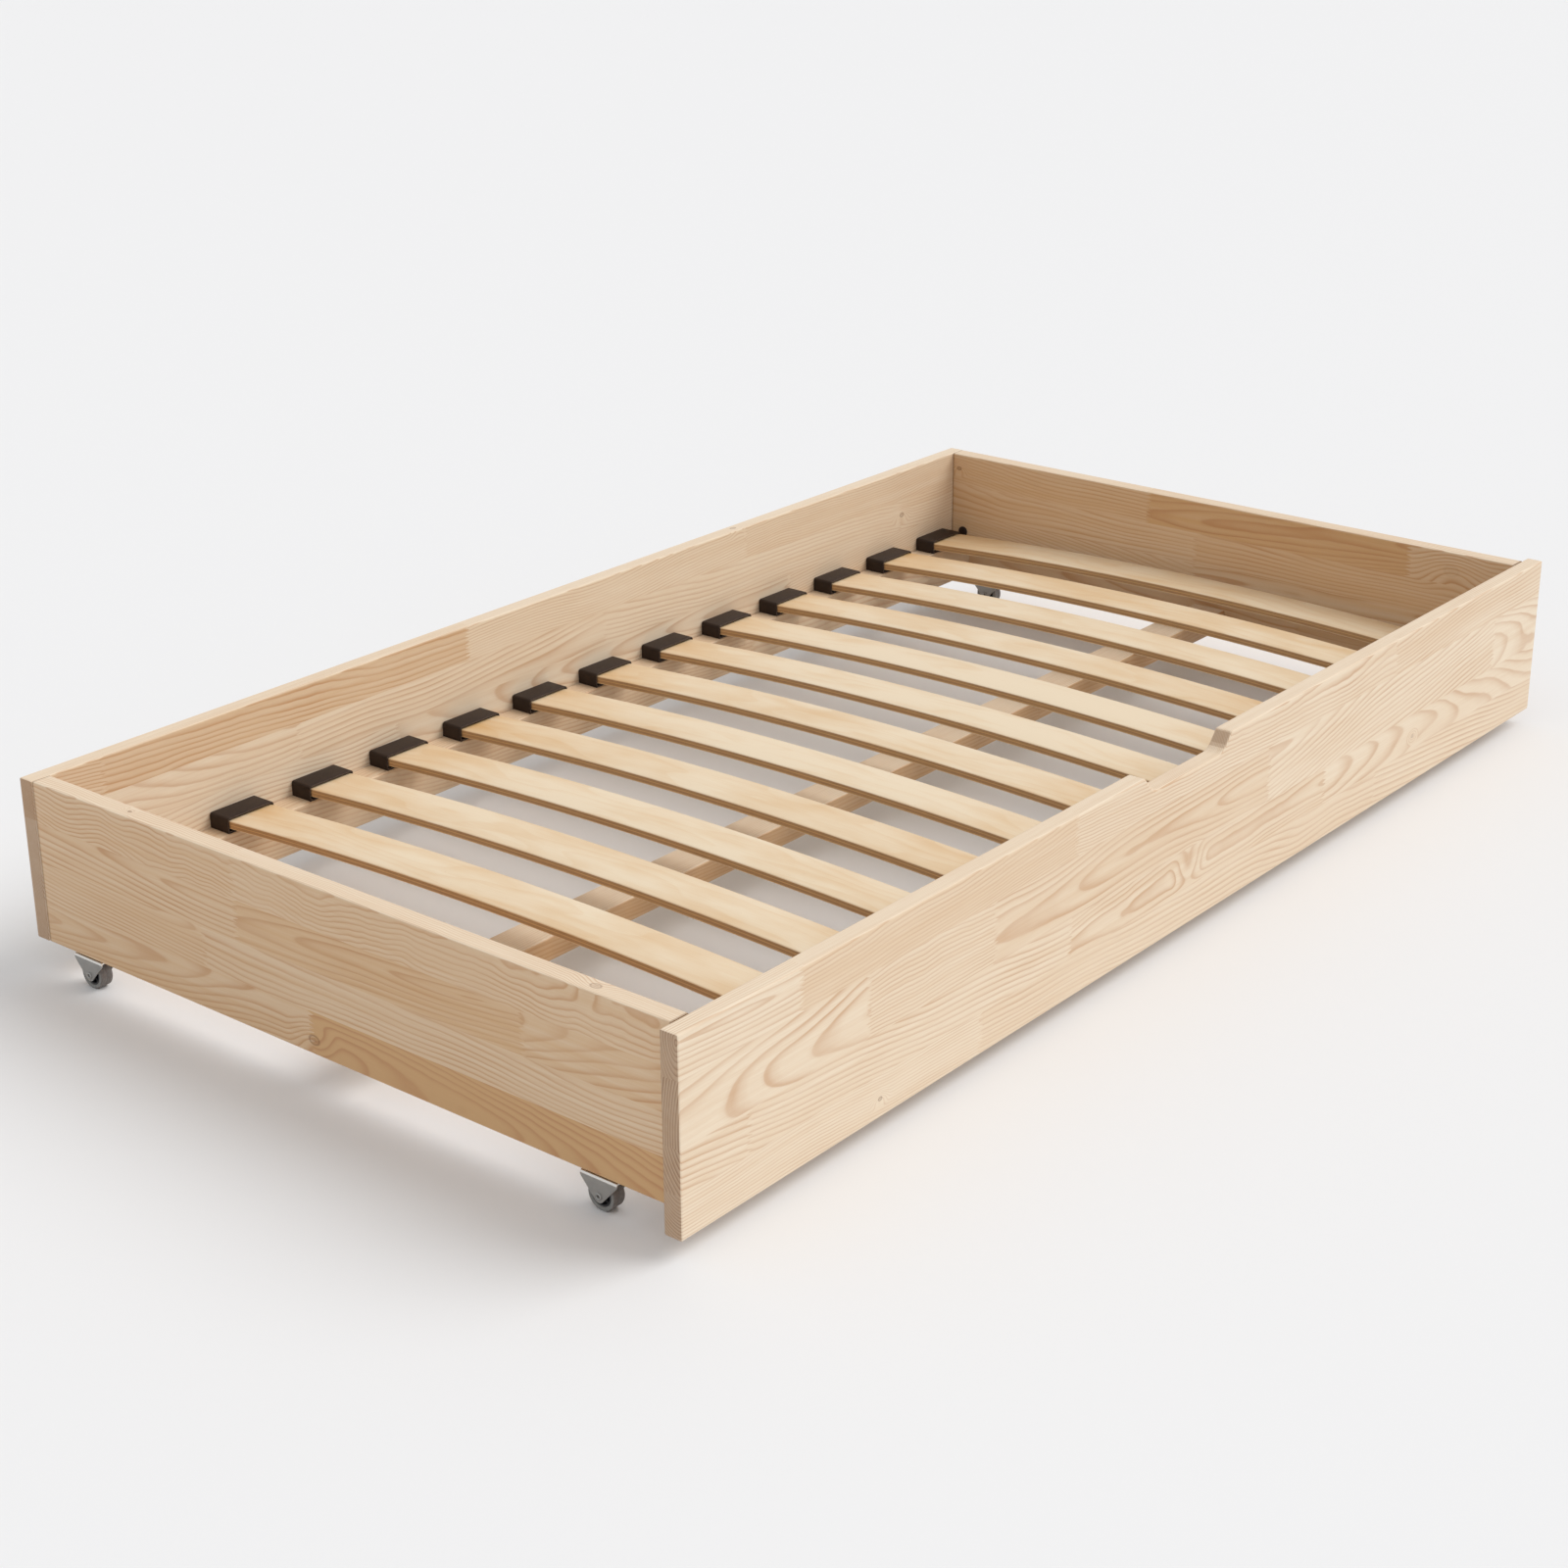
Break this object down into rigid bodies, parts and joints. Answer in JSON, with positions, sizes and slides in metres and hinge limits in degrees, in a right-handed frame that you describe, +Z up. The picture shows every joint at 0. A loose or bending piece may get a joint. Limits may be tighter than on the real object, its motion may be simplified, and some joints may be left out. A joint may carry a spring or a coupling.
{
  "type": "trundle bed",
  "caption": "Low open-topped pine under-bed drawer bed with a sprung slat base, a hand-hold notch in the front board and fixed castors.",
  "frame": {"origin": "on the floor, under the middle of the box's overall length and width", "axes": "+X along the bed's length, towards its right-hand end as seen from the front; +Y from the front board (the one with the notch) to the back board; +Z up"},
  "size_m": [1.9, 1.038, 0.249],
  "materials": {
    "pine": "clear satin lacquer over finger-jointed solid pine",
    "birch": "clear satin lacquer over bent laminated birch",
    "black_plastic": "moulded, fine texture",
    "zinc_plated_steel": "zinc-plated pressed sheet",
    "grey_tyre": "matte, worn tread",
    "dark_hub": "moulded"
  },
  "bodies": {
    "bed_frame": {"front_board": "pine", "back_board": "pine", "end_board_left": "pine", "end_board_right": "pine", "ledger_front": "pine", "ledger_back": "pine", "centre_beam": "pine", "slat_01": "birch", "slat_02": "birch", "slat_03": "birch", "slat_04": "birch", "slat_05": "birch", "slat_06": "birch", "slat_07": "birch", "slat_08": "birch", "slat_09": "birch", "slat_10": "birch", "slat_11": "birch", "slat_12": "birch", "slat_cap_front_01": "black_plastic", "slat_cap_front_02": "black_plastic", "slat_cap_front_03": "black_plastic", "slat_cap_front_04": "black_plastic", "slat_cap_front_05": "black_plastic", "slat_cap_front_06": "black_plastic", "slat_cap_front_07": "black_plastic", "slat_cap_front_08": "black_plastic", "slat_cap_front_09": "black_plastic", "slat_cap_front_10": "black_plastic", "slat_cap_front_11": "black_plastic", "slat_cap_front_12": "black_plastic", "slat_cap_back_01": "black_plastic", "slat_cap_back_02": "black_plastic", "slat_cap_back_03": "black_plastic", "slat_cap_back_04": "black_plastic", "slat_cap_back_05": "black_plastic", "slat_cap_back_06": "black_plastic", "slat_cap_back_07": "black_plastic", "slat_cap_back_08": "black_plastic", "slat_cap_back_09": "black_plastic", "slat_cap_back_10": "black_plastic", "slat_cap_back_11": "black_plastic", "slat_cap_back_12": "black_plastic", "castor_fork_front_left": "zinc_plated_steel", "castor_fork_front_right": "zinc_plated_steel", "castor_fork_back_left": "zinc_plated_steel", "castor_fork_back_right": "zinc_plated_steel", "castor_axle_front_left": "zinc_plated_steel", "castor_axle_front_right": "zinc_plated_steel", "castor_axle_back_left": "zinc_plated_steel", "castor_axle_back_right": "zinc_plated_steel"},
    "wheel_front_left": {"castor_tyre_front_left": "grey_tyre", "castor_hub_front_left": "dark_hub"},
    "wheel_front_right": {"castor_tyre_front_right": "grey_tyre", "castor_hub_front_right": "dark_hub"},
    "wheel_back_left": {"castor_tyre_back_left": "grey_tyre", "castor_hub_back_left": "dark_hub"},
    "wheel_back_right": {"castor_tyre_back_right": "grey_tyre", "castor_hub_back_right": "dark_hub"}
  },
  "joints": [
    {"name": "wheel_spin_front_left", "type": "hinge", "parent": "bed_frame", "child": "wheel_front_left", "pos_m": [-0.919, -0.391, 0.018], "axis": [1, 0, 0], "continuous": true},
    {"name": "wheel_spin_front_right", "type": "hinge", "parent": "bed_frame", "child": "wheel_front_right", "pos_m": [0.919, -0.391, 0.018], "axis": [1, 0, 0], "continuous": true},
    {"name": "wheel_spin_back_left", "type": "hinge", "parent": "bed_frame", "child": "wheel_back_left", "pos_m": [-0.919, 0.427, 0.018], "axis": [1, 0, 0], "continuous": true},
    {"name": "wheel_spin_back_right", "type": "hinge", "parent": "bed_frame", "child": "wheel_back_right", "pos_m": [0.919, 0.427, 0.018], "axis": [1, 0, 0], "continuous": true}
  ]
}
